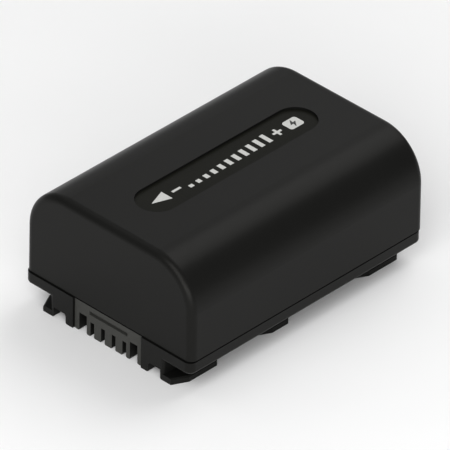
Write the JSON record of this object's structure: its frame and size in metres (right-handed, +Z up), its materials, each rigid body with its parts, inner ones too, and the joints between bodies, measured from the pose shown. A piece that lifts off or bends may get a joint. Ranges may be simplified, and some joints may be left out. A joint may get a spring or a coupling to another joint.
{
  "type": "camera battery",
  "caption": "Slide-on camera battery pack: crowned two-shell case with a top recess, hooked slide rails and a slotted terminal comb, cells and circuit board inside.",
  "frame": {"origin": "centre of the footprint, on the underside of the pad and hook tabs that the pack rests on", "axes": "+Z up through the top with the recess, +Y from the terminal end to the rear end, +X to the right seen from the terminal end"},
  "size_m": [0.031, 0.045, 0.0196],
  "materials": {
    "case_black": "satin moulded black plastic with a very fine texture",
    "block_grey": "satin dark grey moulded plastic",
    "contact_metal": "gold-plated spring contact",
    "cell_sleeve": "shrunk plastic sleeve over a steel can",
    "insulating_paper": "matt fibre insulation",
    "nickel_strip": "spot-welded nickel strip",
    "board_green": "solder mask over glass laminate",
    "chip_black": "moulded chip package",
    "chip_ceramic": "fired ceramic chip part",
    "glue": "cured white silicone"
  },
  "bodies": {
    "root": {"upper_case": "case_black", "lower_case": "case_black", "terminal_block": "block_grey", "contact_positive": "contact_metal", "contact_signal": "contact_metal", "contact_sense": "contact_metal", "contact_negative": "contact_metal", "cell_left": "cell_sleeve", "cell_right": "cell_sleeve", "insulator_ring_left": "insulating_paper", "insulator_ring_right": "insulating_paper", "insulating_sheet": "insulating_paper", "positive_strip": "nickel_strip", "negative_strip": "nickel_strip", "series_link": "nickel_strip", "circuit_board": "board_green", "protection_chip": "chip_black", "gauge_chip": "chip_black", "switch_chip": "chip_black", "fuse": "chip_ceramic", "sense_resistor": "chip_black", "chip_resistors": "chip_black", "chip_capacitors": "chip_ceramic", "thermistor": "chip_black", "glue_left": "glue", "glue_right": "glue"}
  },
  "joints": []
}
